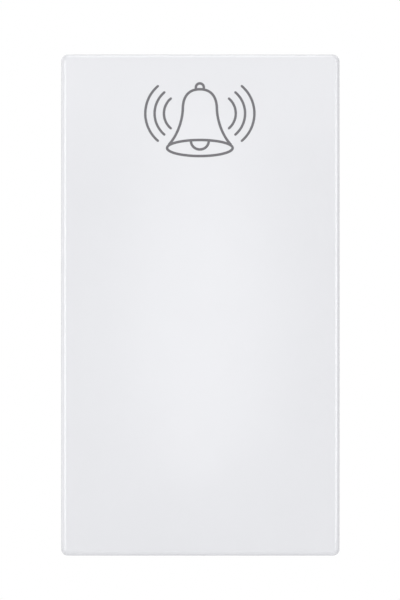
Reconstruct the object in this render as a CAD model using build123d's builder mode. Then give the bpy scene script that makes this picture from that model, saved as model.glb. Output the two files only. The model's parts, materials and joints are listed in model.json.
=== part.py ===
from build123d import *
import os
from math import atan2, cos, pi, radians, sin, sqrt, tan

os.makedirs("parts", exist_ok=True)

# Sizes in millimetres and degrees. X runs to the right, Z up, Y from the room into the wall.
# The seat plane, where the flange rests on its support, is Y = 0.

# Clearances
touch_gap = 0.05  # between faces that meet at rest
run_gap = 0.06  # round pins, shafts and rivets
slide_gap = 0.1  # beside pieces that slide or snap in
leg_gap = 0.15  # between a release button and its clamp springs

# Key
key_width = 25.0
key_height = 45.0
key_reach = 9.5  # middle of the face in front of the seat plane
key_face_wall = 1.5
key_skirt_wall = 1.2
key_corner = 0.6
key_edge = 0.45
crown_radius = 1100.0  # of the face, from top to bottom
press_angle = 3.2
hinge_drop = 5.0  # hinge axis below the top edge of the key
hinge_reach = 4.0  # hinge axis in front of the seat plane
pin_radius = 1.0
skirt_room = 0.35  # left between the skirt and the flange at the top edge
rib_wall = 0.9
rib_depth = 1.2
rib_spread = 7.0
rib_pitch = 9.0
rib_rows = 4
nib_width = 3.6
nib_chamfer = 1.2
hook_room = 0.7  # left between the stop hooks and the lower wall of the base
hook_spread = 6.4
hook_width = 4.0
hook_wall = 1.4
hook_lip = 0.8
hook_lip_length = 1.5
hook_swing_room = 0.6

# Front frame
flange_inset = 0.1  # inside the outline of the key
flange_thickness = 2.0
flange_corner = 0.8
flange_edge = 0.3
rebate_depth = 0.6  # takes the front edge of the base
seat_side = 1.4  # flange beside the base, left and right
seat_end = 2.9  # flange beyond the base, top and bottom
rim_gap = 0.7
rim_wall = 1.2
rim_height = 3.3
cheek_radius = 2.4
lead_in = 0.5  # slant that the pins ride over when the key snaps in
guide_height = 1.2
guide_wall = 1.1
tongue_width = 9.0
tongue_gap = 0.6
tongue_wall = 1.1
tongue_length = 6.5
catch_depth = 2.2  # support plate held between the seat and the catch
catch_height = 0.8
catch_land = 0.5
tab_spread = 11.0  # snap tabs above and below the middle
tab_width = 6.8
tab_wall = 1.0
tab_length = 6.2
tab_window_width = 4.4
tab_window_start = 2.9
tab_window_length = 1.9
nub_height = 0.7
pry_width = 6.0  # notch for the tool that lifts the key off
pry_depth = 0.8

# Base
base_depth = 22.0  # rear edge behind the seat plane
base_wall = 1.3
base_corner = 1.0
floor_depth = 10.0
floor_wall = 1.2
rib_thickness = 1.0
partition_wall = 1.2
partition_end_gap = 1.4  # between the inner walls and the terminal cover
pocket_gap = 0.3
pocket_wall = 1.0
pocket_length = 8.0
post_width = 2.4
post_wall = 1.2
post_room = 1.5
gauge_length = 11.0  # groove that shows how far to strip a wire
gauge_width = 1.6
gauge_depth = 0.4

# Plunger and its springs
plunger_room = 2.4  # left between the lower guide post and the lower wall of the base
head_reach = 5.0  # head of the plunger in front of the seat plane
stem_radius = 2.2
stem_edge = 0.4
body_width = 5.0
body_height = 9.0
body_front_wall = 1.5
body_room = 0.45  # left between the pressed body and the floor
spigot_radius = 1.4
spigot_length = 3.5
peg_radius = 0.9
peg_length = 1.0
return_coil_radius = 1.95
return_wire = 0.5
return_turns = 5
contact_coil_radius = 1.35
contact_wire = 0.4
contact_turns = 3
wire_sides = 6  # of the drawn wire, in place of a circle
turn_steps = 12  # straight lengths in each turn of a coil

# Contacts and busbars
strip = 0.8
bend_radius = 0.8  # to the middle of the strip
bridge_width = 4.0
bridge_overhang = 2.1
bridge_corner = 1.0
bridge_side_gap = 0.3
contact_radius = 1.5
contact_head = 0.6
shank_radius = 0.8
arm_width = 4.4
arm_overhang = 2.3
arm_corner = 1.0
plate_side_gap = 0.4
plate_shoulder = 3.0

# Terminals
line_level = 1.0  # middle of the clamp plates above the middle of the module
wire_radius = 1.4
wire_pitch = 4.0
funnel_radius = 1.9
funnel_angle = 70.0
entry_wall = 1.2
entry_length = 2.5
plate_end_gap = 0.3
clamp_width = 3.4
clamp_wall = 0.4
clamp_bend = 0.9
clamp_height = 8.4  # room for the clamp springs above the clamp plates
clamp_reach = 7.4
clamp_corner_gap = 1.2
cover_thickness = 1.6
cover_edge = 0.5
barrier_height = 1.2  # rib between the poles, behind the cover
lip_width = 8.0
lip_wall = 1.2
lip_length = 3.4
lip_nub = 0.6
lip_nub_start = 0.4
lip_nub_length = 1.2
release_height = 2.0
release_side = 0.1  # clamp springs wider than the button, each side
release_wing = 0.6
release_wing_length = 1.5
release_reach = 2.0
release_edge = 0.3
release_notch = 0.7
release_notch_depth = 0.5

# Key positions
hinge_y = -hinge_reach
hinge_z = key_height / 2 - hinge_drop
skirt_end = -(flange_thickness + skirt_room)
skirt_slope = tan(radians(press_angle))  # so that the pressed skirt lies along the flange
key_inner_width = key_width - 2 * key_skirt_wall
key_inner_height = key_height - 2 * key_skirt_wall
key_inner_face = key_face_wall - key_reach

# Frame and base positions
flange_front = -flange_thickness
lid_back = -rebate_depth
flange_width = key_width - 2 * flange_inset
flange_height = key_height - 2 * flange_inset
rim_width = key_inner_width - 2 * rim_gap
rim_tall = key_inner_height - 2 * rim_gap
base_width = flange_width - 2 * seat_side
base_height = flange_height - 2 * seat_end
inner_width = base_width - 2 * base_wall
inner_height = base_height - 2 * base_wall
floor_back = floor_depth + floor_wall
inner_end = base_depth - partition_end_gap
cover_back = base_depth + cover_thickness

# Hook and plunger positions
hook_low = hook_room + hook_lip - inner_height / 2
hook_drop = hinge_z - hook_low - hook_wall / 2
plunger_z = plunger_room + post_wall + slide_gap + (body_height - inner_height) / 2
plunger_arm = hinge_z - plunger_z
plunger_travel = plunger_arm * radians(press_angle)
nib_end = -(head_reach + touch_gap)
body_front = lid_back + slide_gap
body_back = floor_depth - plunger_travel - body_room
contact_gap = plunger_travel + touch_gap
busbar_front = floor_depth - strip
bridge_back = busbar_front - 2 * contact_head - contact_gap
bridge_front = bridge_back - strip
window_front = body_front + body_front_wall
window_back = bridge_back + touch_gap
pocket_radius = return_coil_radius + return_wire / 2 + pocket_gap
pocket_end = floor_back + pocket_length
post_offset = body_height / 2 + slide_gap + post_wall / 2

# Terminal positions
pole_room = (inner_width - partition_wall) / 2
pole_x = (inner_width + partition_wall) / 4
plate_width = pole_room - 2 * plate_side_gap
plate_top = line_level + strip / 2
plate_end = base_depth - entry_length - plate_end_gap
wire_level = plate_top + touch_gap + wire_radius
clamp_ceiling = plate_top + clamp_height
clamp_tip_z = plate_top + clamp_wall
clamp_leg_z = clamp_ceiling - touch_gap - clamp_wall / 2
clamp_corner_y = base_depth - clamp_corner_gap
clamp_tip_y = clamp_corner_y - clamp_reach
clamp_angle = atan2(clamp_leg_z - clamp_tip_z, clamp_reach)
release_low = wire_level + wire_radius + entry_wall + slide_gap
release_top = release_low + release_height
release_width = wire_pitch + clamp_width - 2 * release_side
release_end = cover_back + release_reach
leg_offset = (clamp_wall / 2 + leg_gap) / sin(clamp_angle)


def facing_room(depth):
    """Sketch plane across the wall at a depth behind the seat; x is across, y is up."""
    return Plane.XZ.offset(-depth)


def release_nose(level):
    """Depth of a release button's slanted nose at a level, parallel to the clamp leg."""
    return clamp_tip_y + (level - clamp_tip_z) * cos(clamp_angle) / sin(clamp_angle) + leg_offset


# Key: a crowned cap with a skirt, hinged near its top edge
crown_sag = crown_radius - sqrt(crown_radius**2 - key_height**2)
with BuildPart() as key:
    with BuildSketch(facing_room(skirt_end)):
        RectangleRounded(key_width, key_height, key_corner)
    extrude(amount=skirt_end + key_reach)
    with BuildSketch(Plane.YZ):
        with BuildLine():
            face_arc = ThreePointArc(
                (crown_sag - key_reach, -key_height), (-key_reach, 0), (crown_sag - key_reach, key_height)
            )
            Polyline(
                face_arc @ 1,
                (skirt_end + skirt_slope * key_height / 2, key_height),
                (skirt_end - skirt_slope * key_height * 3 / 2, -key_height),
                face_arc @ 0,
            )
        make_face()
    extrude(amount=key_width, both=True, mode=Mode.INTERSECT)
    fillet(key.faces().sort_by(Axis.Y)[0].edges(), key_edge)
    with BuildSketch(facing_room(skirt_end)):
        Rectangle(key_inner_width, key_inner_height)
    extrude(amount=skirt_end - key_inner_face, mode=Mode.SUBTRACT)
    # Stiffening ribs under the face
    with BuildSketch(facing_room(key_inner_face + rib_depth)):
        with Locations((0, hinge_z - hook_drop / 2)):
            with GridLocations(2 * rib_spread, 0, 2, 1):
                Rectangle(rib_wall, hook_drop)
            with GridLocations(0, rib_pitch, 1, rib_rows):
                Rectangle(rim_width - 2 * (rim_wall + rim_gap), rib_wall)
    extrude(amount=rib_depth)
    # Hinge pins
    for side in (-1, 1):
        with BuildSketch(Plane.YZ.offset(side * key_inner_width / 2)):
            with Locations((hinge_y, hinge_z)):
                Circle(pin_radius)
        extrude(amount=-side * (rim_gap + rim_wall))
    # Nib that pushes the plunger
    with BuildSketch(facing_room(nib_end)):
        with Locations((0, plunger_z)):
            Rectangle(nib_width, nib_width)
    extrude(amount=nib_end - key_inner_face)
    chamfer(key.edges(Select.LAST).group_by(Axis.Y)[-1], nib_chamfer)
    # Stop hooks that hold the key behind the lid of the frame
    hook_catch = lid_back + touch_gap
    for side in (-1, 1):
        with BuildSketch(Plane.YZ.offset(side * hook_spread)):
            with BuildLine():
                Polyline(
                    (key_inner_face, hook_low + hook_wall),
                    (key_inner_face, hook_low),
                    (hook_catch, hook_low),
                    (hook_catch, hook_low - hook_lip),
                    (hook_catch + hook_lip_length / 3, hook_low - hook_lip),
                    (hook_catch + hook_lip_length, hook_low + hook_wall / 3),
                    (hook_catch + hook_lip_length, hook_low + hook_wall),
                    close=True,
                )
            make_face()
        extrude(amount=hook_width / 2, both=True)
key.part.label = "key"
export_step(key.part, "parts/key.step")

# Front frame: flange, rim with hinge bearings, lid and snap tongues
with BuildPart() as front_frame:
    with BuildSketch(facing_room(0)):
        RectangleRounded(flange_width, flange_height, flange_corner)
    extrude(amount=flange_thickness)
    chamfer(front_frame.faces().sort_by(Axis.Y)[0].edges(), flange_edge)
    with BuildSketch(facing_room(0)):
        RectangleRounded(
            base_width + 2 * slide_gap, base_height + 2 * slide_gap, base_corner + slide_gap
        )
    extrude(amount=rebate_depth, mode=Mode.SUBTRACT)
    with BuildSketch(facing_room(flange_front)):
        Rectangle(rim_width, rim_tall)
        Rectangle(rim_width - 2 * rim_wall, rim_tall - 2 * rim_wall, mode=Mode.SUBTRACT)
        with Locations((0, plunger_z)):
            Circle(stem_radius + run_gap + guide_wall)
    extrude(amount=guide_height)
    with BuildSketch(facing_room(flange_front)):
        Rectangle(rim_width, rim_tall)
        Rectangle(rim_width - 2 * rim_wall, rim_tall - 2 * rim_wall, mode=Mode.SUBTRACT)
    extrude(amount=rim_height)
    # Bearing cheeks for the key's pins
    for side in (-1, 1):
        with BuildSketch(Plane.YZ.offset(side * rim_width / 2)):
            with Locations((hinge_y, hinge_z)):
                Circle(cheek_radius)
            with Locations(((flange_front + hinge_y) / 2, hinge_z)):
                Rectangle(flange_front - hinge_y, 2 * cheek_radius)
            with Locations((flange_front + cheek_radius, hinge_z)):
                Rectangle(2 * cheek_radius, 2 * cheek_radius, mode=Mode.SUBTRACT)
        extrude(amount=-side * rim_wall)
    with BuildSketch(Plane.YZ):
        with Locations((hinge_y, hinge_z)):
            Circle(pin_radius + run_gap)
    extrude(amount=rim_width, both=True, mode=Mode.SUBTRACT)
    for side in (-1, 1):
        with BuildSketch(Plane.XY.offset(hinge_z)):
            with BuildLine():
                Polyline(
                    (side * rim_width / 2, hinge_y - cheek_radius),
                    (side * (rim_width / 2 - lead_in), hinge_y - cheek_radius),
                    (side * rim_width / 2, hinge_y - pin_radius),
                    close=True,
                )
            make_face()
        extrude(amount=pin_radius + run_gap, both=True, mode=Mode.SUBTRACT)
    # Notch in the lower edge, where a tool lifts the key off
    with BuildSketch(facing_room(flange_front + pry_depth)):
        with Locations((0, -flange_height / 2)):
            Rectangle(pry_width, 2 * pry_depth)
    extrude(amount=pry_depth, mode=Mode.SUBTRACT)
    # Plunger bore and hook slots
    hook_slot_low = hook_low - slide_gap
    hook_slot_top = hook_low + hook_wall + hook_swing_room
    with BuildSketch(facing_room(0)):
        with Locations((0, plunger_z)):
            Circle(stem_radius + run_gap)
        with Locations((0, (hook_slot_low + hook_slot_top) / 2)):
            with GridLocations(2 * hook_spread, 0, 2, 1):
                Rectangle(hook_width + 4 * slide_gap, hook_slot_top - hook_slot_low)
    extrude(amount=flange_thickness + guide_height, mode=Mode.SUBTRACT)
    # Tongues that snap behind the support, top and bottom
    tongue_low = base_height / 2 + tongue_gap
    tongue_top = tongue_low + tongue_wall
    for side in (-1, 1):
        with BuildSketch(Plane.YZ):
            with BuildLine():
                Polyline(
                    (lid_back, side * tongue_low),
                    (lid_back, side * tongue_top),
                    (catch_depth, side * tongue_top),
                    (catch_depth, side * (tongue_top + catch_height)),
                    (catch_depth + catch_land, side * (tongue_top + catch_height)),
                    (tongue_length, side * (tongue_low + tongue_wall / 2)),
                    (tongue_length, side * tongue_low),
                    close=True,
                )
            make_face()
        extrude(amount=tongue_width / 2, both=True)
    # Tabs with windows that snap over the nubs of the base
    tab_x = base_width / 2 + slide_gap + tab_wall / 2
    with BuildSketch(facing_room(tab_length)):
        with GridLocations(2 * tab_x, 2 * tab_spread, 2, 2):
            Rectangle(tab_wall, tab_width)
    extrude(amount=tab_length + rebate_depth)
    with BuildSketch(Plane.YZ):
        with Locations((tab_window_start + tab_window_length / 2, 0)):
            with GridLocations(0, 2 * tab_spread, 1, 2):
                Rectangle(tab_window_length, tab_window_width)
    extrude(amount=key_width, both=True, mode=Mode.SUBTRACT)
front_frame.part.label = "front_frame"
export_step(front_frame.part, "parts/front_frame.step")

# Base: housing with a floor, guide posts, spring pocket and terminal chambers
slot_low = line_level - bend_radius - slide_gap
slot_top = plate_top + slide_gap
with BuildPart() as base:
    with BuildSketch(facing_room(base_depth)):
        RectangleRounded(base_width, base_height, base_corner)
        Rectangle(inner_width, inner_height, mode=Mode.SUBTRACT)
    extrude(amount=base_depth - lid_back)
    with BuildSketch(facing_room(floor_back)):
        Rectangle(inner_width, inner_height)
        with Locations((0, (slot_low + slot_top) / 2)):
            with GridLocations(2 * pole_x, 0, 2, 1):
                Rectangle(plate_width + 2 * slide_gap, slot_top - slot_low, mode=Mode.SUBTRACT)
    extrude(amount=floor_wall)
    # Pocket for the return spring
    with BuildSketch(facing_room(pocket_end + pocket_wall)):
        with Locations((0, plunger_z)):
            Circle(pocket_radius + pocket_wall)
    extrude(amount=pocket_end + pocket_wall - floor_back)
    with BuildSketch(facing_room(pocket_end)):
        with Locations((0, plunger_z)):
            Circle(pocket_radius)
    extrude(amount=pocket_end - floor_depth, mode=Mode.SUBTRACT)
    # Posts that guide the body of the plunger
    with BuildSketch(facing_room(floor_depth)):
        with Locations((0, plunger_z)):
            with GridLocations(0, 2 * post_offset, 1, 2):
                Rectangle(post_width, post_wall)
    extrude(amount=floor_depth - body_front - post_room)
    # Terminal chambers: partition, shelf under the clamp plates and rib above the clamp springs
    shelf_top = line_level - strip / 2
    shelf_low = shelf_top - rib_thickness
    ceiling_top = clamp_ceiling + rib_thickness
    with BuildSketch(facing_room(inner_end)):
        with Locations((0, (shelf_low + ceiling_top) / 2)):
            Rectangle(partition_wall, ceiling_top - shelf_low)
        with Locations((0, clamp_ceiling + rib_thickness / 2)):
            Rectangle(inner_width, rib_thickness)
    extrude(amount=inner_end - floor_back)
    with BuildSketch(facing_room(plate_end)):
        with Locations((0, shelf_low + rib_thickness / 2)):
            Rectangle(inner_width, rib_thickness)
    extrude(amount=plate_end - floor_back)
    # Nubs for the tabs of the frame
    nub_start = tab_window_start + slide_gap
    nub_end = tab_window_start + tab_window_length - slide_gap
    nub_width = tab_window_width - 4 * slide_gap
    for level in (-tab_spread, tab_spread):
        for side in (-1, 1):
            with BuildSketch(Plane.XY.offset(level)):
                with BuildLine():
                    Polyline(
                        (side * base_width / 2, nub_start),
                        (side * (base_width / 2 + nub_height), nub_end),
                        (side * base_width / 2, nub_end),
                        close=True,
                    )
                make_face()
            extrude(amount=nub_width / 2, both=True)
    # Grooves along both sides that show how far to strip a wire
    with BuildSketch(facing_room(base_depth)):
        with GridLocations(base_width, 0, 2, 1):
            Rectangle(2 * gauge_depth, gauge_width)
    extrude(amount=gauge_length, mode=Mode.SUBTRACT)
    # Windows for the nubs of the terminal cover
    lip_front = base_depth - lip_length
    lip_window_start = lip_front + lip_nub_start - slide_gap
    lip_window_length = lip_nub_length + 2 * slide_gap
    with BuildSketch(Plane.YZ):
        with Locations((lip_window_start + lip_window_length / 2, 0)):
            with GridLocations(0, base_height, 1, 2):
                Rectangle(lip_window_length, 3 * base_wall)
    extrude(amount=lip_width / 2 + slide_gap, both=True, mode=Mode.SUBTRACT)
base.part.label = "base"
export_step(base.part, "parts/base.step")

# Terminal cover: rear plate with wire entries, release windows and snap lips
wire_places = [side * pole_x + step * wire_pitch / 2 for side in (-1, 1) for step in (-1, 1)]
with BuildPart() as terminal_cover:
    with BuildSketch(facing_room(cover_back)):
        RectangleRounded(base_width, base_height, base_corner)
    extrude(amount=cover_thickness)
    chamfer(terminal_cover.faces().sort_by(Axis.Y)[-1].edges(), cover_edge)
    with BuildSketch(facing_room(base_depth)):
        with Locations((0, wire_level)):
            with GridLocations(2 * pole_x, 0, 2, 1):
                Rectangle(pole_room - 2 * slide_gap, 2 * (wire_radius + entry_wall))
    extrude(amount=entry_length)
    with Locations(*[Plane((x, cover_back, wire_level), z_dir=(0, 1, 0)) for x in wire_places]):
        CounterSinkHole(wire_radius, funnel_radius, counter_sink_angle=funnel_angle)
    with BuildSketch(facing_room(cover_back)):
        with Locations((0, (release_low + release_top) / 2)):
            with GridLocations(2 * pole_x, 0, 2, 1):
                Rectangle(release_width + 2 * slide_gap, release_height + 2 * slide_gap)
    extrude(amount=cover_thickness, mode=Mode.SUBTRACT)
    # Barrier between the two poles
    barrier_low = wire_level - wire_radius - entry_wall
    with BuildSketch(facing_room(cover_back + barrier_height)):
        with Locations((0, (barrier_low + release_top) / 2)):
            Rectangle(partition_wall, release_top - barrier_low)
    extrude(amount=barrier_height)
    # Lips with nubs that snap into the windows of the base
    lip_outer = inner_height / 2 - slide_gap
    lip_nub_end = lip_front + lip_nub_start + lip_nub_length
    for side in (-1, 1):
        with BuildSketch(Plane.YZ):
            with BuildLine():
                Polyline(
                    (base_depth, side * lip_outer),
                    (base_depth, side * (lip_outer - lip_wall)),
                    (lip_front, side * (lip_outer - lip_wall)),
                    (lip_front, side * lip_outer),
                    (lip_front + lip_nub_start, side * lip_outer),
                    (lip_nub_end, side * (lip_outer + slide_gap + lip_nub)),
                    (lip_nub_end, side * lip_outer),
                    close=True,
                )
            make_face()
        extrude(amount=lip_width / 2, both=True)
terminal_cover.part.label = "terminal_cover"
export_step(terminal_cover.part, "parts/terminal_cover.step")

# Plunger: round stem, body with a window for the bridge, spigot for the return spring
with BuildPart() as plunger:
    with BuildSketch(facing_room(body_front)):
        with Locations((0, plunger_z)):
            Circle(stem_radius)
    extrude(amount=body_front + head_reach)
    chamfer(plunger.faces().sort_by(Axis.Y)[0].edges(), stem_edge)
    with BuildSketch(facing_room(body_back)):
        with Locations((0, plunger_z)):
            Rectangle(body_width, body_height)
    extrude(amount=body_back - body_front)
    with BuildSketch(Plane.YZ):
        with Locations(((window_front + window_back) / 2, plunger_z)):
            Rectangle(window_back - window_front, bridge_width + 2 * bridge_side_gap)
    extrude(amount=body_width, both=True, mode=Mode.SUBTRACT)
    with BuildSketch(facing_room(window_front + peg_length)):
        with Locations((0, plunger_z)):
            Circle(peg_radius)
    extrude(amount=peg_length)
    with BuildSketch(facing_room(body_back + spigot_length)):
        with Locations((0, plunger_z)):
            Circle(spigot_radius)
    extrude(amount=spigot_length)
plunger.part.label = "plunger"
export_step(plunger.part, "parts/plunger.step")

# Coil springs: return spring behind the plunger, contact spring in its window
coils = (
    ("return_spring", body_back, pocket_end, return_coil_radius, return_wire, return_turns),
    ("contact_spring", window_front, bridge_front, contact_coil_radius, contact_wire, contact_turns),
)
for name, start, end, coil_radius, wire, turns in coils:
    with BuildPart() as coil:
        first = start + touch_gap + wire / 2
        rise = (end - start - wire - 2 * touch_gap) / (turns * turn_steps)
        turn = 2 * pi / turn_steps
        with BuildLine() as turn_line:
            Polyline(
                *[
                    (coil_radius * cos(n * turn), first + n * rise, plunger_z + coil_radius * sin(n * turn))
                    for n in range(turns * turn_steps + 1)
                ]
            )
        with BuildSketch(Plane(turn_line.line @ 0, x_dir=(1, 0, 0), z_dir=turn_line.line % 0)):
            RegularPolygon(wire / 2, wire_sides)
        sweep(path=turn_line.line, transition=Transition.RIGHT)
    coil.part.label = name
    export_step(coil.part, f"parts/{name}.step")

# Contact bridge with its two moving contacts
with BuildPart() as contact_bridge:
    with BuildSketch(facing_room(bridge_back)):
        with Locations((0, plunger_z)):
            RectangleRounded(2 * (pole_x + bridge_overhang), bridge_width, bridge_corner)
            with GridLocations(2 * pole_x, 0, 2, 1):
                Circle(shank_radius + run_gap, mode=Mode.SUBTRACT)
    extrude(amount=strip)
contact_bridge.part.label = "contact_bridge"
export_step(contact_bridge.part, "parts/contact_bridge.step")

for name, side in (("left", -1), ("right", 1)):
    with BuildPart() as moving_contact:
        with BuildSketch(facing_room(bridge_back)):
            with Locations((side * pole_x, plunger_z)):
                Circle(contact_radius)
        extrude(amount=-contact_head)
        with BuildSketch(facing_room(bridge_back)):
            with Locations((side * pole_x, plunger_z)):
                Circle(shank_radius)
        extrude(amount=strip)
    moving_contact.part.label = f"{name}_moving_contact"
    export_step(moving_contact.part, f"parts/{name}_moving_contact.step")

    # Busbar: contact arm on the floor, bent back into the clamp plate
    arm_end = plunger_z - arm_overhang
    with BuildPart() as busbar:
        with BuildSketch(Plane.YZ.offset(side * pole_x)):
            with BuildLine() as strip_line:
                FilletPolyline(
                    (busbar_front + strip / 2, arm_end),
                    (busbar_front + strip / 2, line_level),
                    (plate_end, line_level),
                    radius=bend_radius,
                )
            trace(strip_line.line, strip)
        extrude(amount=plate_width / 2, both=True)
        with BuildSketch(facing_room(plate_end)):
            with Locations((side * pole_x, (arm_end + plate_top) / 2)):
                Rectangle(arm_width, plate_top - arm_end)
            with Locations((side * pole_x, plate_top - plate_shoulder / 2)):
                Rectangle(plate_width, plate_shoulder)
            with Locations((side * pole_x, plunger_z)):
                Circle(shank_radius + run_gap, mode=Mode.SUBTRACT)
        extrude(amount=plate_end - busbar_front, mode=Mode.INTERSECT)
        arm_corners = busbar.edges().filter_by(Axis.Y).group_by(Axis.Z)[0]
        fillet(arm_corners, arm_corner)
    busbar.part.label = f"{name}_busbar"
    export_step(busbar.part, f"parts/{name}_busbar.step")

    with BuildPart() as fixed_contact:
        with BuildSketch(facing_room(busbar_front)):
            with Locations((side * pole_x, plunger_z)):
                Circle(contact_radius)
        extrude(amount=contact_head)
        with BuildSketch(facing_room(floor_depth)):
            with Locations((side * pole_x, plunger_z)):
                Circle(shank_radius)
        extrude(amount=strip)
    fixed_contact.part.label = f"{name}_fixed_contact"
    export_step(fixed_contact.part, f"parts/{name}_fixed_contact.step")

    # Clamp springs: one leg under the rib, the other pressing on the clamp plate
    for place, step in (("outer", side), ("inner", -side)):
        with BuildPart() as clamp_spring:
            with BuildSketch(Plane.YZ.offset(side * pole_x + step * wire_pitch / 2)):
                with BuildLine() as clamp_line:
                    FilletPolyline(
                        (clamp_tip_y, clamp_leg_z),
                        (clamp_corner_y, clamp_leg_z),
                        (clamp_tip_y, clamp_tip_z),
                        radius=clamp_bend,
                    )
                trace(clamp_line.line, clamp_wall)
            extrude(amount=clamp_width / 2, both=True)
        clamp_spring.part.label = f"{name}_{place}_clamp_spring"
        export_step(clamp_spring.part, f"parts/{name}_{place}_clamp_spring.step")

    # Release button: slanted nose behind the clamp legs, wings that stop it at the cover
    wing_back = base_depth - slide_gap
    with BuildPart() as release_button:
        with BuildSketch(Plane.YZ.offset(side * pole_x)):
            with BuildLine():
                Polyline(
                    (release_nose(release_low), release_low),
                    (release_end, release_low),
                    (release_end, release_top),
                    (release_nose(release_top), release_top),
                    close=True,
                )
            make_face()
        extrude(amount=release_width / 2, both=True)
        with BuildSketch(facing_room(wing_back)):
            with Locations((side * pole_x, (release_low + release_top) / 2)):
                Rectangle(release_width + 2 * release_wing, release_height)
        extrude(amount=release_wing_length)
        chamfer(release_button.faces().sort_by(Axis.Y)[-1].edges(), release_edge)
        with BuildSketch(facing_room(release_end)):
            with Locations((side * pole_x, (release_low + release_top) / 2)):
                Rectangle(release_width / 2, release_notch)
        extrude(amount=release_notch_depth, mode=Mode.SUBTRACT)
    release_button.part.label = f"{name}_release_button"
    export_step(release_button.part, f"parts/{name}_release_button.step")
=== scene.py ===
import json
import math

import bpy
from mathutils import Matrix, Vector
from mathutils.geometry import delaunay_2d_cdt, interpolate_bezier


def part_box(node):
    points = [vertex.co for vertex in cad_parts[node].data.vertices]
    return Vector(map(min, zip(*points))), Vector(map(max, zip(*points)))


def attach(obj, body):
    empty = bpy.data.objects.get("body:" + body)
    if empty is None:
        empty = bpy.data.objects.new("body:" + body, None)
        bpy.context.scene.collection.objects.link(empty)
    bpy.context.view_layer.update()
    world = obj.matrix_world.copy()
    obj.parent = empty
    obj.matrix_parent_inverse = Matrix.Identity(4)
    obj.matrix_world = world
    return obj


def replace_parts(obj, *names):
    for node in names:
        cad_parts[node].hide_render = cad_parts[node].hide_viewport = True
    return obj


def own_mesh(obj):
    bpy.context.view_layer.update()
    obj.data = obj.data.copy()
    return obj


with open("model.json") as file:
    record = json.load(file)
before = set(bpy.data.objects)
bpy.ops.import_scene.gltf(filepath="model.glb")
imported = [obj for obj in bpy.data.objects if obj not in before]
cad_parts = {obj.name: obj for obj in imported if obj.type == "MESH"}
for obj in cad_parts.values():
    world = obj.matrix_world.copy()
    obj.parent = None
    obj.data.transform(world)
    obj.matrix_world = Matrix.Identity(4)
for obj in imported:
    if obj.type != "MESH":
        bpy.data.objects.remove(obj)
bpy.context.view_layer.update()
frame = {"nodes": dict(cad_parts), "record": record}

# The frame is in metres. X runs to the right, Z up, Y from the room into the wall.
MM = 0.001

# Photograph, in pixels: its size and the outline of the key in it
PHOTO_WIDTH = 400
PHOTO_HEIGHT = 600
KEY_LEFT = 61.0
KEY_RIGHT = 339.7
KEY_TOP = 54.0
KEY_BOTTOM = 556.2

# Camera and stage
CAMERA_DISTANCE = 0.30  # from the face of the key
SENSOR = 36.0  # millimetres along the taller side of the picture
FLOOR_LEVEL = -0.045
FLOOR_HALF_WIDTH = 0.25
FLOOR_FRONT = -0.20  # short of hiding the side lamps from the key
FLOOR_BACK = 0.18  # short of where the camera would see it below the key
FLOOR_COLOUR = (0.88, 0.88, 0.88)
FLOOR_LIFT = 0.42  # light added for the camera alone, so that the floor reads as white
AMBIENT = 0.347  # world light on matt surfaces
AMBIENT_COLOUR = (0.985, 0.992, 1.0)

# Soft boxes: side and height angles in degrees, distance, width, height and radiance
SOFT_BOXES = {
    "left_box": (-23.5, 0.0, 0.60, 0.365, 0.185, 3.7),
    "left_side": (-88.0, 8.0, 0.60, 0.60, 0.50, 0.90),
    "right_box": (37.0, -0.4, 0.60, 0.41, 0.178, 3.6),
    "top_box": (0.0, 66.0, 0.60, 0.50, 0.52, 0.65),
    "top_strip": (0.0, 81.0, 0.60, 0.10, 0.62, 2.4),
    "upper_box": (0.0, 19.0, 0.60, 0.30, 0.285, 0.90),
    "front_box": (0.0, -0.05, 0.75, 0.046, 0.163, 1.35),
    "back_left": (-140.0, 35.0, 0.60, 0.40, 0.40, 0.8),
    "back_right": (140.0, 35.0, 0.60, 0.40, 0.40, 0.8),
}
ROUND_BOXES = ("front_box",)

# Face of the key, curved from top to bottom
CROWN_RADIUS = 1.1

# Bell sign printed on the key, in millimetres from the middle of the face
SIGN_MIDDLE = -0.045  # of the sign, to the right of the face's middle
BELL_STROKE = 0.230
WAVE_STROKE = 0.222
INK_RISE = 0.012  # in front of the face
INK_ROOT = 0.02  # behind it
CURVE_STEP = 0.12  # longest straight length along a stroke
MERGE_REACH = 1e-5  # points nearer than this are one
KEEP_INSIDE = 1  # triangulation that fills the outlines only
WAVE_LEVEL = 17.18
WAVE_REACH = 4.89  # outermost sound wave from the middle
WAVE_PITCH = 0.835
WAVE_RADIUS = 3.23
WAVE_RADIUS_STEP = 0.735
WAVE_HALF_ANGLE = 49.5
WAVES = 3
LOOP_LEVEL = 19.52
LOOP_RADIUS = 0.36
LOOP_SWEEP = (-30, 210)
DOME_TOP = 19.35
DOME_SIDE = ((0.0, DOME_TOP), (0.93, DOME_TOP), (1.52, 18.80), (1.53, 17.55))
DOME_FLARE = ((1.53, 17.55), (1.58, 16.40), (2.07, 15.15), (2.77, 14.39))
LIP_LEVEL = 14.08
LIP_HALF_WIDTH = 2.94
LIP_HALF_HEIGHT = 0.72
CLAPPER_LEVEL = 14.71
CLAPPER_HALF_WIDTH = 0.80
CLAPPER_DROP = 0.76

# Coil springs
RETURN_WIRE = 0.5 * MM
RETURN_TURNS = 5
CONTACT_WIRE = 0.4 * MM
CONTACT_TURNS = 3
TURN_STEPS = 48
WIRE_SIDES = 12

# Clamp springs, in millimetres: bent strip with one leg under the rib and one on the clamp plate
CLAMP_CORNER = Vector((20.8, 9.55))  # Y and Z where the middle lines of the legs meet
CLAMP_LEG_END = Vector((13.4, 9.55))
CLAMP_TIP = Vector((13.4, 1.8))
CLAMP_BEND = 0.9
CLAMP_BEND_STEPS = 24
CLAMP_WALL = 0.4
CLAMP_EDGE = 0.06  # broken edges of the strip

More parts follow.
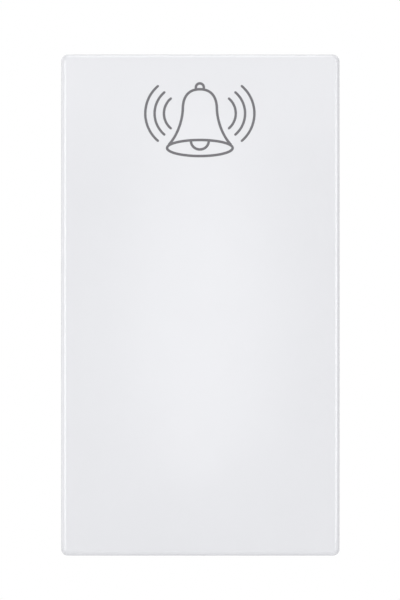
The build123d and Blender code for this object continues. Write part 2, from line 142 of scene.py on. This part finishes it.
# Moulded edges
EDGE_WIDTH = 0.12 * MM
EDGE_SAMPLES = 6
EDGE_SEGMENTS = 2
EDGE_ANGLE = math.radians(40)  # sharper bends than this are edges
FLAT_ANGLE = math.radians(0.3)  # faces nearer to level than this are one
WELD_REACH = 0.001 * MM

# Finishes: noise in cells to a metre, and how far it sways a value
NOISE_RANGE = (0.3, 0.7)  # middle of the noise
NOISE_DETAIL = 3.0
CLOUD_CELLS = 260.0
CLOUD_SWAY = 0.012
GLOSS_CELLS = 900.0
GLOSS_SWAY = 0.08
GRAIN_DETAIL = 2.0
GRAIN_STRENGTH = 0.35
PLASTIC_IOR = 1.58
STREAK_CELLS = 2500.0
STREAK_DETAIL = 4.0
STREAK_SHADES = (0.90, 1.06)
STREAK_GLOSS_SWAY = 0.25
STREAK_DEPTH = 0.004 * MM
STREAK_STRENGTH = 0.3
INK_COLOUR = (0.150, 0.147, 0.159)
INK_CELLS = 5000.0
INK_SHADES = (0.93, 1.08)
INK_ROUGHNESS = (0.42, 0.55)

# Plastics: colour, roughness, cells and depth of the grain, sway of the colour, radius of the edges
PLASTICS = {
    "key_plastic": ((0.802, 0.805, 0.831), 0.11, 9000.0, 0.0003 * MM, 0.004, 0.0),
    "frame_plastic": ((0.76, 0.765, 0.77), 0.42, 7000.0, 0.008 * MM, CLOUD_SWAY, EDGE_WIDTH),
    "base_plastic": ((0.55, 0.56, 0.57), 0.48, 5000.0, 0.012 * MM, 0.02, EDGE_WIDTH),
    "cover_plastic": ((0.40, 0.41, 0.42), 0.48, 5000.0, 0.012 * MM, 0.02, EDGE_WIDTH),
    "plunger_plastic": ((0.78, 0.765, 0.72), 0.35, 6000.0, 0.004 * MM, CLOUD_SWAY, EDGE_WIDTH),
    "release_plastic": ((0.78, 0.25, 0.035), 0.40, 6000.0, 0.008 * MM, 0.03, EDGE_WIDTH),
}

# Metals: colour, roughness and how the streaks are stretched along the axes
METALS = {
    "brass": ((0.78, 0.58, 0.26), 0.26, (1.0, 0.12, 0.12)),
    "silver": ((0.86, 0.86, 0.84), 0.20, (1.0, 1.0, 1.0)),
    "spring_steel": ((0.56, 0.565, 0.58), 0.24, (1.0, 0.15, 0.15)),
}

nodes = frame["nodes"]


# Node helpers
def link(tree, source, target):
    tree.links.new(source, target)


def start_material(name):
    """An empty principled material, with its tree and shader node."""
    material = bpy.data.materials.new(name)
    material.use_nodes = True
    tree = material.node_tree
    shader = tree.nodes["Principled BSDF"]
    return material, tree, shader


def object_noise(tree, cells, detail=NOISE_DETAIL, stretch=(1.0, 1.0, 1.0)):
    """Noise fixed to the piece, stretched along its axes."""
    place = tree.nodes.new("ShaderNodeTexCoord")
    mapping = tree.nodes.new("ShaderNodeMapping")
    mapping.inputs["Scale"].default_value = stretch
    noise = tree.nodes.new("ShaderNodeTexNoise")
    noise.inputs["Scale"].default_value = cells
    noise.inputs["Detail"].default_value = detail
    link(tree, place.outputs["Object"], mapping.inputs["Vector"])
    link(tree, mapping.outputs["Vector"], noise.inputs["Vector"])
    return noise.outputs["Fac"]


def ramp(tree, factor, low, high):
    """Colours from low to high as a factor goes through its middle range."""
    node = tree.nodes.new("ShaderNodeValToRGB")
    first, last = node.color_ramp.elements
    first.position, last.position = NOISE_RANGE
    first.color, last.color = (*low, 1.0), (*high, 1.0)
    link(tree, factor, node.inputs["Fac"])
    return node.outputs["Color"]


def spread(tree, factor, low, high):
    """Values from low to high as a factor goes through its middle range."""
    node = tree.nodes.new("ShaderNodeMapRange")
    node.inputs["From Min"].default_value, node.inputs["From Max"].default_value = NOISE_RANGE
    node.inputs["To Min"].default_value = low
    node.inputs["To Max"].default_value = high
    link(tree, factor, node.inputs["Value"])
    return node.outputs["Result"]


def bump(tree, shader, height, depth, strength, edge=0.0):
    """Relief of a depth on the shader's normal, over edges rounded by a radius."""
    node = tree.nodes.new("ShaderNodeBump")
    node.inputs["Strength"].default_value = strength
    node.inputs["Distance"].default_value = depth
    link(tree, height, node.inputs["Height"])
    link(tree, node.outputs["Normal"], shader.inputs["Normal"])
    if edge:
        rounded = tree.nodes.new("ShaderNodeBevel")
        rounded.samples = EDGE_SAMPLES
        rounded.inputs["Radius"].default_value = edge
        link(tree, rounded.outputs["Normal"], node.inputs["Normal"])


def shade(colour, amount):
    return tuple(min(1.0, channel * amount) for channel in colour)


# Materials
def moulded_plastic(name, colour, roughness, grain_cells, grain_depth, cloud, edge):
    """Moulded plastic: faint clouds of colour, uneven gloss and a fine spark-eroded grain."""
    material, tree, shader = start_material(name)
    clouds = object_noise(tree, CLOUD_CELLS)
    tint = ramp(tree, clouds, shade(colour, 1 - cloud), shade(colour, 1 + cloud))
    link(tree, tint, shader.inputs["Base Color"])
    sway = roughness * GLOSS_SWAY
    gloss = spread(tree, object_noise(tree, GLOSS_CELLS), roughness - sway, roughness + sway)
    link(tree, gloss, shader.inputs["Roughness"])
    bump(tree, shader, object_noise(tree, grain_cells, GRAIN_DETAIL), grain_depth, GRAIN_STRENGTH, edge)
    shader.inputs["IOR"].default_value = PLASTIC_IOR
    return material


def rolled_metal(name, colour, roughness, stretch):
    """Rolled or drawn metal: streaks along the rolling direction and a thin dull film."""
    material, tree, shader = start_material(name)
    streaks = object_noise(tree, STREAK_CELLS, STREAK_DETAIL, stretch)
    tint = ramp(tree, streaks, *(shade(colour, amount) for amount in STREAK_SHADES))
    link(tree, tint, shader.inputs["Base Color"])
    sway = roughness * STREAK_GLOSS_SWAY
    link(tree, spread(tree, streaks, roughness - sway, roughness + sway), shader.inputs["Roughness"])
    bump(tree, shader, streaks, STREAK_DEPTH, STREAK_STRENGTH)
    shader.inputs["Metallic"].default_value = 1.0
    return material


def printed_ink():
    """Pad-printed grey ink, a little uneven in cover."""
    material, tree, shader = start_material("printed_ink")
    cover = object_noise(tree, INK_CELLS)
    tint = ramp(tree, cover, *(shade(INK_COLOUR, amount) for amount in INK_SHADES))
    link(tree, tint, shader.inputs["Base Color"])
    link(tree, spread(tree, cover, *INK_ROUGHNESS), shader.inputs["Roughness"])
    return material


MATERIALS = {slot: moulded_plastic(slot, *values) for slot, values in PLASTICS.items()}
MATERIALS |= {slot: rolled_metal(slot, *values) for slot, values in METALS.items()}
INK = printed_ink()

for row in frame["record"]["subparts"]:
    nodes[row["node"]].data.materials[0] = MATERIALS[row["material_slot"]]


# Pieces
def add_piece(name, vertices, faces, body, material, smooth=False):
    """A mesh piece in the frame, riding on a body, with the finish of a record slot."""
    mesh = bpy.data.meshes.new(name)
    mesh.from_pydata(vertices, [], faces)
    mesh.polygons.foreach_set("use_smooth", [smooth] * len(mesh.polygons))
    mesh.materials.append(material)
    piece = bpy.data.objects.new(name, mesh)
    bpy.context.scene.collection.objects.link(piece)
    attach(piece, body)
    return piece


# Bell sign
key_low, key_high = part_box("key")
FACE_REACH = key_low.y


def face_depth(level):
    """Y of the crowned face at a height above its middle."""
    return FACE_REACH + CROWN_RADIUS - math.sqrt(CROWN_RADIUS**2 - level**2)


def arc_points(centre, half_axes, start, end):
    """Points along an ellipse about a centre, from one angle to another, in degrees."""
    sweep = math.radians(end - start)
    count = max(2, math.ceil(abs(sweep) * max(half_axes) / CURVE_STEP))
    angles = [math.radians(start) + sweep * n / count for n in range(count + 1)]
    across, up = half_axes
    return [Vector((centre[0] + across * math.cos(a), centre[1] + up * math.sin(a))) for a in angles]


def bezier_points(side, *controls):
    """Points along chained cubic curves, mirrored by side."""
    points = []
    for first, out, into, last in controls:
        count = math.ceil((Vector(last) - Vector(first)).length / CURVE_STEP) + 2
        corners = [Vector((side * x, z, 0.0)) for x, z in (first, out, into, last)]
        run = [p.xy for p in interpolate_bezier(*corners, count)]
        points += run[1:] if points else run
    return points


def stroke_polygons(points, width, closed=False):
    """Quads of a width along a line, with round ends where the line is open."""
    count = len(points)
    sides = []
    for n, point in enumerate(points):
        before = points[(n - 1) % count] if closed or n else point
        after = points[(n + 1) % count] if closed or n < count - 1 else point
        along = (after - before).normalized()
        across = Vector((-along.y, along.x)) * width / 2
        sides.append((point - across, point + across))
    pairs = list(zip(sides, sides[1:] + sides[:1])) if closed else list(zip(sides, sides[1:]))
    polygons = [[a[0], b[0], b[1], a[1]] for a, b in pairs]
    if not closed:
        for end, inner in ((points[0], points[1]), (points[-1], points[-2])):
            heading = math.degrees(math.atan2(end.y - inner.y, end.x - inner.x))
            polygons.append(arc_points(end, (width / 2, width / 2), heading - 90, heading + 90))
    return polygons


def bell_strokes():
    """Every stroke of the sign, as polygons on the face."""
    dome_left = bezier_points(-1, DOME_SIDE, DOME_FLARE)
    dome_right = bezier_points(1, DOME_SIDE, DOME_FLARE)
    strokes = stroke_polygons(dome_left[:0:-1] + dome_right, BELL_STROKE)
    lip = arc_points((0.0, LIP_LEVEL), (LIP_HALF_WIDTH, LIP_HALF_HEIGHT), 0, 360)
    strokes += stroke_polygons(lip[:-1], BELL_STROKE, closed=True)
    loop = arc_points((0.0, LOOP_LEVEL), (LOOP_RADIUS, LOOP_RADIUS), *LOOP_SWEEP)
    strokes += stroke_polygons(loop, BELL_STROKE)
    clapper = arc_points((0.0, CLAPPER_LEVEL), (CLAPPER_HALF_WIDTH, CLAPPER_DROP), 180, 360)
    strokes += stroke_polygons(clapper, BELL_STROKE)
    for wave in range(WAVES):
        radius = WAVE_RADIUS - wave * WAVE_RADIUS_STEP
        middle = WAVE_REACH - wave * WAVE_PITCH - radius
        for side, facing in ((1, 0), (-1, 180)):
            centre = (side * middle, WAVE_LEVEL)
            curve = arc_points(centre, (radius, radius), facing - WAVE_HALF_ANGLE, facing + WAVE_HALF_ANGLE)
            strokes += stroke_polygons(curve, WAVE_STROKE)
    return strokes


def printed_shape(name, polygons, body, material):
    """The union of flat polygons, laid on the crowned face as one thin closed layer."""
    points = [p for polygon in polygons for p in polygon]
    outlines, first = [], 0
    for polygon in polygons:
        outlines.append(list(range(first, first + len(polygon))))
        first += len(polygon)
    filled = delaunay_2d_cdt(points, [], outlines, KEEP_INSIDE, MERGE_REACH)
    flat, triangles, origins = filled[0], filled[2], filled[5]
    covered = [tuple(t) for t, origin in zip(triangles, origins) if origin]
    used = sorted({n for t in covered for n in t})
    place = {old: new for new, old in enumerate(used)}
    front = [Vector((flat[n].x + SIGN_MIDDLE, 0.0, flat[n].y)) * MM for n in used]
    for vertex in front:
        vertex.y = face_depth(vertex.z) - INK_RISE * MM
    back = [v + Vector((0.0, (INK_RISE + INK_ROOT) * MM, 0.0)) for v in front]
    count = len(front)
    faces = [tuple(place[n] for n in t) for t in covered]
    edges = {(a, b) for t in faces for a, b in zip(t, t[1:] + t[:1])}
    walls = [(b, a, a + count, b + count) for a, b in edges if (b, a) not in edges]
    backs = [tuple(n + count for n in reversed(t)) for t in faces]
    return add_piece(name, front + back, faces + backs + sorted(walls), body, material)


printed_shape("bell_sign", bell_strokes(), "key", INK)


# Coil springs of round wire, in place of the plain ones
def coil_spring(node, body, wire, turns):
    """A round-wire coil along Y that fills the box of its node."""
    low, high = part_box(node)
    centre = (low + high) / 2
    radius = (high.x - low.x - wire) / 2
    length = high.y - low.y - wire
    steps = turns * TURN_STEPS
    vertices, faces = [], []
    for n in range(steps + 1):
        turn = 2 * math.pi * n / TURN_STEPS
        outward = Vector((math.cos(turn), 0.0, math.sin(turn)))
        middle = Vector((centre.x, low.y + wire / 2 + length * n / steps, centre.z)) + outward * radius
        for k in range(WIRE_SIDES):
            angle = 2 * math.pi * k / WIRE_SIDES
            offset = outward * math.cos(angle) + Vector((0.0, math.sin(angle), 0.0))
            vertices.append(middle + offset * wire / 2)
    for n in range(steps):
        for k in range(WIRE_SIDES):
            a, b = n * WIRE_SIDES + k, n * WIRE_SIDES + (k + 1) % WIRE_SIDES
            faces.append((a, b, b + WIRE_SIDES, a + WIRE_SIDES))
    last = steps * WIRE_SIDES
    faces.append(tuple(reversed(range(WIRE_SIDES))))
    faces.append(tuple(range(last, last + WIRE_SIDES)))
    piece = add_piece(
        f"{node}_wire", vertices, faces, body, MATERIALS["spring_steel"], smooth=True
    )
    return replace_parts(piece, node)


return_wire = coil_spring("return_spring", "housing", RETURN_WIRE, RETURN_TURNS)
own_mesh(return_wire)
coil_spring("contact_spring", "plunger", CONTACT_WIRE, CONTACT_TURNS)


# Clamp springs of bent strip, in place of the plain ones, so that they give way to the release buttons
def clamp_line():
    """Middle line of the strip in Y and Z, with its bend as an arc, and its normals."""
    legs = [(end - CLAMP_CORNER).normalized() for end in (CLAMP_LEG_END, CLAMP_TIP)]
    half = legs[0].angle(legs[1]) / 2
    middle = CLAMP_CORNER + (legs[0] + legs[1]).normalized() * CLAMP_BEND / math.sin(half)
    first = CLAMP_CORNER + legs[0] * CLAMP_BEND / math.tan(half) - middle
    turn = 2 * half - math.pi
    arc = []
    for n in range(CLAMP_BEND_STEPS + 1):
        across = Matrix.Rotation(turn * n / CLAMP_BEND_STEPS, 2) @ first
        arc.append((middle + across, across.normalized()))
    return [(CLAMP_LEG_END, arc[0][1]), *arc, (CLAMP_TIP, arc[-1][1])]


def clamp_spring(node):
    """A bent strip with broken edges, as wide as its node."""
    low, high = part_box(node)
    side, top = (high.x - low.x) / 2, CLAMP_WALL * MM / 2
    inner_side, inner_top = side - CLAMP_EDGE * MM, top - CLAMP_EDGE * MM
    section = [
        (inner_side, -top),
        (side, -inner_top),
        (side, inner_top),
        (inner_side, top),
        (-inner_side, top),
        (-side, inner_top),
        (-side, -inner_top),
        (-inner_side, -top),
    ]
    sides = len(section)
    line = clamp_line()
    vertices = []
    for point, normal in line:
        for x, rise in section:
            y, z = point * MM + normal * rise
            vertices.append(((low.x + high.x) / 2 + x, y, z))
    faces = [
        (n * sides + k, (n + 1) * sides + k, (n + 1) * sides + (k + 1) % sides, n * sides + (k + 1) % sides)
        for n in range(len(line) - 1)
        for k in range(sides)
    ]
    last = (len(line) - 1) * sides
    faces += [tuple(range(sides)), tuple(reversed(range(last, last + sides)))]
    piece = add_piece(f"{node}_strip", vertices, faces, "housing", MATERIALS["spring_steel"])
    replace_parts(piece, node)
    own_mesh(piece)


for clamp_side in ("left", "right"):
    for clamp_place in ("outer", "inner"):
        clamp_spring(f"{clamp_side}_{clamp_place}_clamp_spring")


# Broken edges of the large mouldings
def break_edges(node):
    """Rounds the sharp edges of a CAD node as it is shown."""
    weld = nodes[node].modifiers.new("weld", "WELD")
    weld.merge_threshold = WELD_REACH
    flat = nodes[node].modifiers.new("flat", "DECIMATE")
    flat.decimate_type = "DISSOLVE"
    flat.angle_limit = FLAT_ANGLE
    bevel = nodes[node].modifiers.new("edges", "BEVEL")
    bevel.width = EDGE_WIDTH
    bevel.segments = EDGE_SEGMENTS
    bevel.limit_method = "ANGLE"
    bevel.angle_limit = EDGE_ANGLE
    bevel.use_clamp_overlap = False
    bevel.harden_normals = True


for moulding in ("front_frame", "base"):
    break_edges(moulding)


# Stage
def add_object(name, data):
    item = bpy.data.objects.new(name, data)
    bpy.context.scene.collection.objects.link(item)
    return item


def light_path_mix(tree, *outputs):
    """One when a ray is any of the named kinds."""
    path = tree.nodes.new("ShaderNodeLightPath")
    total = path.outputs[outputs[0]]
    for name in outputs[1:]:
        add = tree.nodes.new("ShaderNodeMath")
        add.operation = "MAXIMUM"
        link(tree, total, add.inputs[0])
        link(tree, path.outputs[name], add.inputs[1])
        total = add.outputs[0]
    return total


def pale_floor():
    """A matt white floor that is seen as white, with the object's shadow on it, and clear from below."""
    material, tree, shader = start_material("pale_floor")
    shader.inputs["Base Color"].default_value = (*FLOOR_COLOUR, 1.0)
    shader.inputs["Roughness"].default_value = 1.0
    shader.inputs["Specular IOR Level"].default_value = 0.0
    shader.inputs["Emission Color"].default_value = (1.0, 1.0, 1.0, 1.0)
    seen = light_path_mix(tree, "Is Camera Ray", "Is Glossy Ray", "Is Transmission Ray")
    scaled = tree.nodes.new("ShaderNodeMath")
    scaled.operation = "MULTIPLY"
    scaled.inputs[1].default_value = FLOOR_LIFT
    link(tree, seen, scaled.inputs[0])
    link(tree, scaled.outputs[0], shader.inputs["Emission Strength"])
    side = tree.nodes.new("ShaderNodeNewGeometry")
    clear = tree.nodes.new("ShaderNodeBsdfTransparent")
    mix = tree.nodes.new("ShaderNodeMixShader")
    link(tree, side.outputs["Backfacing"], mix.inputs["Fac"])
    link(tree, shader.outputs["BSDF"], mix.inputs[1])
    link(tree, clear.outputs["BSDF"], mix.inputs[2])
    link(tree, mix.outputs["Shader"], tree.nodes["Material Output"].inputs["Surface"])
    mesh = bpy.data.meshes.new("floor")
    half = FLOOR_HALF_WIDTH
    plan = ((-half, FLOOR_FRONT), (half, FLOOR_FRONT), (half, FLOOR_BACK), (-half, FLOOR_BACK))
    corners = [(x, y, FLOOR_LEVEL) for x, y in plan]
    mesh.from_pydata(corners, [], [(0, 1, 2, 3)])
    mesh.materials.append(material)
    add_object("floor", mesh)


def white_world():
    """White where it is seen, weaker and faintly blue where it lights matt surfaces."""
    world = bpy.data.worlds.new("studio")
    bpy.context.scene.world = world
    world.use_nodes = True
    tree = world.node_tree
    seen = tree.nodes["Background"]
    seen.inputs["Color"].default_value = (1.0, 1.0, 1.0, 1.0)
    ambient = tree.nodes.new("ShaderNodeBackground")
    ambient.inputs["Color"].default_value = (*AMBIENT_COLOUR, 1.0)
    ambient.inputs["Strength"].default_value = AMBIENT
    mix = tree.nodes.new("ShaderNodeMixShader")
    kinds = light_path_mix(tree, "Is Camera Ray", "Is Glossy Ray", "Is Transmission Ray")
    link(tree, kinds, mix.inputs["Fac"])
    link(tree, ambient.outputs["Background"], mix.inputs[1])
    link(tree, seen.outputs["Background"], mix.inputs[2])
    link(tree, mix.outputs["Shader"], tree.nodes["World Output"].inputs["Surface"])


def soft_box(name, side_angle, height_angle, distance, width, height, radiance):
    """A lamp facing the middle of the key, of a given radiance."""
    lamp = bpy.data.lights.new(name, "AREA")
    lamp.shape = "ELLIPSE" if name in ROUND_BOXES else "RECTANGLE"
    lamp.size, lamp.size_y = width, height
    lamp.energy = radiance * math.pi * width * height
    item = add_object(name, lamp)
    item.visible_camera = False
    side, up = math.radians(side_angle), math.radians(height_angle)
    heading = Vector((math.sin(side) * math.cos(up), -math.cos(side) * math.cos(up), math.sin(up)))
    item.location = heading * distance + Vector((0.0, FACE_REACH, 0.0))
    item.rotation_euler = heading.to_track_quat("Z", "Y").to_euler()


def front_camera():
    """A camera square to the key, framed so that the key fills the same pixels as in the photograph."""
    pixel = (key_high.z - key_low.z) / (KEY_BOTTOM - KEY_TOP)
    camera = bpy.data.cameras.new("camera")
    camera.sensor_width = camera.sensor_height = SENSOR
    camera.sensor_fit = "AUTO"
    camera.lens = SENSOR * CAMERA_DISTANCE / (PHOTO_HEIGHT * pixel)
    item = add_object("camera", camera)
    across = (PHOTO_WIDTH / 2 - (KEY_LEFT + KEY_RIGHT) / 2) * pixel
    up = ((KEY_TOP + KEY_BOTTOM) / 2 - PHOTO_HEIGHT / 2) * pixel
    item.location = (across, FACE_REACH - CAMERA_DISTANCE, up)
    item.rotation_euler = (math.pi / 2, 0.0, 0.0)
    bpy.context.scene.camera = item


pale_floor()
white_world()
for box_name, values in SOFT_BOXES.items():
    soft_box(box_name, *values)
front_camera()
bpy.context.scene.view_settings.view_transform = "Standard"
